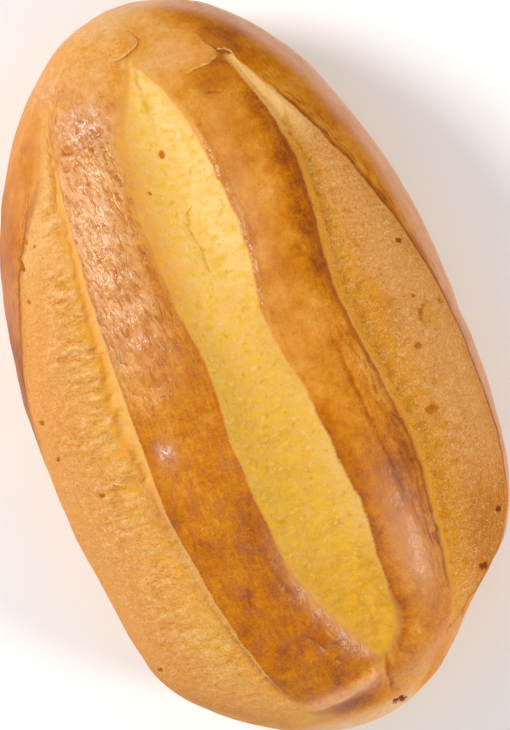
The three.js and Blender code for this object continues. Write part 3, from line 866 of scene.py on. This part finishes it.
def crustFinish():
    material = bpy.data.materials.new("crust")
    material.use_nodes = True
    finish = Finish(material.node_tree)
    material.node_tree.nodes.clear()
    layer, clamp, step, mixed, tinted = finish.layer, finish.clamp, finish.step, finish.mixed, finish.tinted
    metres = finish.node("ShaderNodeTexCoord", out="Object")
    place = finish.node("ShaderNodeVectorMath", {"operation": "SCALE"}, {0: metres, "Scale": 1000.0})  # mm

    broad, patchy, mottle, fine, grain, lumpy, waves = (
        finish.cloud(place, *kind) - 0.5 for kind in crust["clouds"].values())
    strokes, crinkle, folds, pleats, straying = (
        finish.drawn(place, *kind) - 0.5 for kind in crust["drawn"].values())
    streak, fibres, dabs, blots = (
        finish.cloud(finish.stretched(place, by), *kind) - 0.5 for by, *kind in crust["stretched"].values())
    pores, dots, specks, sparks = (finish.dotted(place, *kind) for kind in crust["dotted"].values())
    edge, soft, tears, blistered, yellow, gold, sandy, pockets, uneven, flank, rimmed, glaze, pitDark = (
        layer(name) for name in crust["layers"])

    # where crust gives way to crumb
    ragged = (fine * 0.9 + mottle * 0.5) * clamp(1.3 - soft * 0.6, 0.2, 1.0)
    onCrust = clamp((edge + ragged) / soft * 0.5 + 0.5)

    # crumb: tan to yellow, sandy and fibrous, with moist pockets, and painted warm shade in hollows, dents
    # and notches
    crumb = mixed(crust["crumbTan"], crust["crumbYellow"], clamp(yellow + patchy * 0.5))
    for name, placing, plain, varied in crust["crumbTones"]:
        crumb = tinted(crumb, name, clamp(layer(placing) * (plain + patchy * varied)))
    crumb = tinted(crumb, "crumbBlot", step(dabs + fine * 0.15, -0.02, 0.18) * yellow * 0.65)
    paler = step(mottle * 1.2 + patchy * 0.6, 0.02, 0.36)
    crumb = tinted(crumb, "crumbCream", paler * yellow * 0.6)
    # painted warm shade in the crumb's recesses
    crumb = tinted(crumb, "warm", clamp(layer("warm") * (1 + patchy * 1.6)))
    grains = fine * 1.5 + grain * 1.3 + mottle * 0.8 + fibres * (tears * 2.5 + 0.25)
    high, low = step(grains, 0.0, 0.6), step(grains, 0.0, -0.7)
    crumb = tinted(crumb, "crumbPale", clamp(high * (sandy * 0.75 + 0.1)))
    crumb = tinted(crumb, "crumbToast", clamp(low * sandy * 0.8))
    # moist pockets of the crumb, together with the painted shade of its torn hollows
    moistAndShade = step(blots + fine * 0.1 + pockets * 0.1, 0.0, 0.32) * clamp(pockets * 1.5)
    moistAndShade = clamp(moistAndShade + layer("hollow") * (0.8 + mottle * 2.0))
    lemony = clamp(yellow * 2.0 - 1.0)
    pocket = mixed(crust["pocket"], crust["lemon"], lemony)
    crumb = mixed(crumb, pocket, moistAndShade * (0.8 - yellow * 0.2))
    pores = pores * clamp(sandy * 2.0 - 1.2)
    crumb = tinted(crumb, "pore", pores * 0.6)
    dots = dots * clamp(yellow * 2.0 - 0.9)
    crumb = tinted(crumb, "dot", dots * (0.4 + gold * 0.35))

    # crust: browned unevenly, with painted sheen and painted glints on the wrinkles of the egg wash and
    # painted shade in their valleys
    freckled = mottle * 0.4 + streak * 0.35 + fine * 0.45 + grain * 0.3 + strokes * 0.15
    brown = layer("browning") + broad * 0.6 + patchy * 0.5 + freckled * uneven
    baked = finish.node("ShaderNodeValToRGB", {"stops": crust["browned"]}, {"Fac": brown})
    # painted sheen in patches on the lower left strip, added to the other painted sheen
    satin = layer("satin") * step(patchy + mottle * 0.6, 0.0, 0.3)
    bright = clamp(layer("bloom") + satin * 0.22)
    shine = clamp(0.5 + crinkle * 2.4 * blistered + fine * 0.7 + mottle * 0.8 + strokes * 0.3)
    # painted shade in the valleys of the crinkles, and painted glints on their crests
    valleys = blistered * step(crinkle + fine * 0.4, 0.05, -0.2)
    glints = blistered * step(crinkle + fine * 0.55, 0.0, 0.2)
    baked = tinted(baked, "valleyShade", valleys * 0.85)
    baked = tinted(baked, "bloom", clamp(bright * shine))
    baked = tinted(baked, "glint", glints * bright * bright * 1.3)
    # painted shade along folds, pleats and wrinkles: dark lines where the creases lie
    lines = step(abs(folds), 0.03, 0.0) * clamp(0.3 + patchy * 3.0)
    pleated = step(abs(pleats), 0.04, 0.0) * flank
    folded = lines * (blistered * 0.45 + uneven * 0.25) + pleated * 0.35
    baked = tinted(baked, "creaseShade", clamp(folded))
    meander = edge + straying * 4.0 + fine * 0.5
    wrinkle = 0.0
    for distance, strength in crust["wrinkles"]:
        wrinkle = wrinkle + step(abs(meander - distance), 0.42, 0.06) * strength
    wrinkle = clamp(wrinkle * layer("wrinkled") * clamp(0.55 + patchy * 3.5))
    baked = tinted(baked, "creaseShade", wrinkle * 0.75)
    nearEdge = step((edge + fine * 1.4 + mottle * 0.8) / (0.5 + rimmed), 1.4, 0.3)
    baked = tinted(baked, "edge", clamp(nearEdge * clamp(rimmed) * (0.8 + mottle)))
    baked = tinted(baked, "speck", specks * 0.4)
    # painted glints: small pale specks where the crust is glazed
    baked = tinted(baked, "glint", clamp(sparks * glaze * clamp(patchy * 3.0)))
    colour = mixed(crumb, baked, onCrust)

    # edges of flakes, creases and pits: painted shadow under each flake's edge, a pale raised edge partly
    # painted highlight and partly pale torn crust, and painted shade along cracks
    flakeSide = layer("flakeSide") + fine * 0.5
    show = layer("flakeShow")
    underShadow = step(flakeSide, -0.6, -0.1) * step(flakeSide, 0.04, -0.06) * show
    over = step(flakeSide, -0.02, 0.06) * step(flakeSide, 0.4, 0.15) * show
    dark = mixed(crust["crackInCrumb"], crust["crackInCrust"], onCrust)
    line = step(abs(layer("crackSide") + fine * 0.7) - layer("crackWidth"), 0.06, -0.12)
    colour = tinted(colour, "paleEdge", over * clamp(0.45 + mottle * 2.0))
    shaded = line * (0.4 + mottle * 2.0) + underShadow * (0.45 + mottle)
    colour = mixed(colour, dark, clamp(shaded))
    # pits: painted shade inside the holes, and the painted shade crescent of large pits
    pit = step(layer("pitSide") + fine * 0.5, 0.08, -0.12)
    inPit = mixed(crust["dent"], crust["lemon"], lemony)
    inPit = tinted(inPit, "pore", step(pitDark, 0.1, 0.28))
    inPit = tinted(inPit, "pit", pitDark)
    colour = mixed(colour, inPit, pit * clamp(0.25 + pitDark * 2.2))
    colour = tinted(colour, "pit", clamp(layer("pitShade") * (0.65 + mottle)))

    # relief too fine for the mesh, in millimetres
    torn = abs(fibres) * (tears * 0.3 + 0.1) * sandy
    crumbHeight = (grain * 0.14 + fine * 0.28) * sandy + mottle * (sandy * 0.12 + 0.06) + torn - pores * 0.15
    crumbHeight = crumbHeight + (patchy * 0.5 + mottle * 0.15) * yellow - dots * 0.04
    blisters = crinkle * (blistered * 0.42 + 0.03) + waves * (blistered * 0.35 + 0.2)
    grooves = lines * (blistered * 0.08 + 0.04) + wrinkle * 0.3
    crustHeight = lumpy * 0.10 + fine * 0.015 + blisters + pleats * flank * 0.4 - grooves
    onCrustSoftly = clamp(edge / soft * 0.5 + 0.5)
    height = crumbHeight * (1 - onCrustSoftly) + crustHeight * onCrustSoftly
    raised = finish.node("ShaderNodeBump", None, {"Strength": 1.0, "Distance": 0.001, "Height": height})

    # dull where the egg wash is thin
    dull = finish.node("ShaderNodeBsdfPrincipled", None, {
        "Base Color": colour, "Roughness": 0.8, "Specular IOR Level": 0.08, "Normal": raised})
    glossy = finish.node("ShaderNodeBsdfPrincipled", None, {
        "Base Color": colour, "Roughness": clamp(0.33 - blistered * 0.05 + fine * 0.15, 0.16, 1.0),
        "Specular IOR Level": 0.65, "Specular Tint": (1.0, 0.86, 0.75, 1.0), "Normal": raised})
    glazed = clamp(glaze * (1 + patchy * 3.0 + mottle * 1.2)) * onCrust
    both = finish.node("ShaderNodeMixShader", None, {0: glazed, 1: dull, 2: glossy})
    finish.node("ShaderNodeOutputMaterial", None, {"Surface": both})
    print("crust finished:", len(material.node_tree.nodes), "nodes")
    return material


brioche = makeLoaf()
brioche.data.materials.append(crustFinish())
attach(brioche, "root")
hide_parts("loaf")

studio = {
    "floorSize": 6.0,
    "floorColour": (0.95, 0.95, 0.95, 1),
    "floorRoughness": 0.9,
    "sky": ((0.0, 0.50), (1.0, 0.48)),  # strength at the horizon and overhead
    # place, size, power
    "lights": {
        "key": ((-0.62, 0.45, 0.70), 0.34, 6.8),
        "fill": ((0.70, -0.60, 0.62), 0.3, 5.0),
    },
    "lightAim": (0, 0, 0.03),
    "lens": 300,
    "sensor": 36,
    "clip": (0.01, 100),
    "frameHeight": 0.154,  # metres that the photo's height spans, at the widest line
    "aim": (0.0018, -0.0009, 0.022),
    "lean": -19.118,  # degrees
}


def makeStudio():
    bpy.ops.object.select_all(action="DESELECT")
    bpy.ops.mesh.primitive_plane_add(size=studio["floorSize"], location=(0, 0, 0))
    floor = bpy.context.object
    floor.name = "floor"
    paper = bpy.data.materials.new("paper")
    paper.use_nodes = True
    surface = paper.node_tree.nodes["Principled BSDF"].inputs
    surface["Base Color"].default_value = studio["floorColour"]
    surface["Roughness"].default_value = studio["floorRoughness"]
    floor.data.materials.append(paper)

    world = bpy.data.worlds.new("studio")
    world.use_nodes = True
    sky = Finish(world.node_tree)
    toward = sky.node("ShaderNodeTexCoord", out="Generated")
    up = sky.node("ShaderNodeSeparateXYZ", None, {0: toward}, out="Z")
    (low, atHorizon), (high, overhead) = studio["sky"]
    glow = atHorizon + sky.step(up, low, high) * (overhead - atHorizon)
    background = world.node_tree.nodes["Background"].inputs
    background["Color"].default_value = (1, 1, 1, 1)
    sky.put(background["Strength"], glow)
    bpy.context.scene.world = world

    for name, (at, size, power) in studio["lights"].items():
        bpy.ops.object.light_add(type="AREA", location=at)
        light = bpy.context.object
        light.name = name
        light.data.shape = "DISK"
        light.data.size = size
        light.data.energy = power
        light.rotation_mode = "QUATERNION"
        light.rotation_quaternion = (Vector(studio["lightAim"]) - Vector(at)).to_track_quat("-Z", "Y")

    aim = Vector(studio["aim"])
    away = studio["frameHeight"] * studio["lens"] / studio["sensor"]
    lean = math.radians(studio["lean"])
    bpy.ops.object.camera_add(location=aim + Vector((0, 0, away)), rotation=(0, 0, lean))
    camera = bpy.context.object
    camera.data.lens = studio["lens"]
    camera.data.sensor_width = studio["sensor"]
    camera.data.sensor_fit = "AUTO"
    camera.data.clip_start, camera.data.clip_end = studio["clip"]
    bpy.context.scene.camera = camera
    bpy.context.scene.view_settings.view_transform = "Standard"
    print("studio ready")


makeStudio()
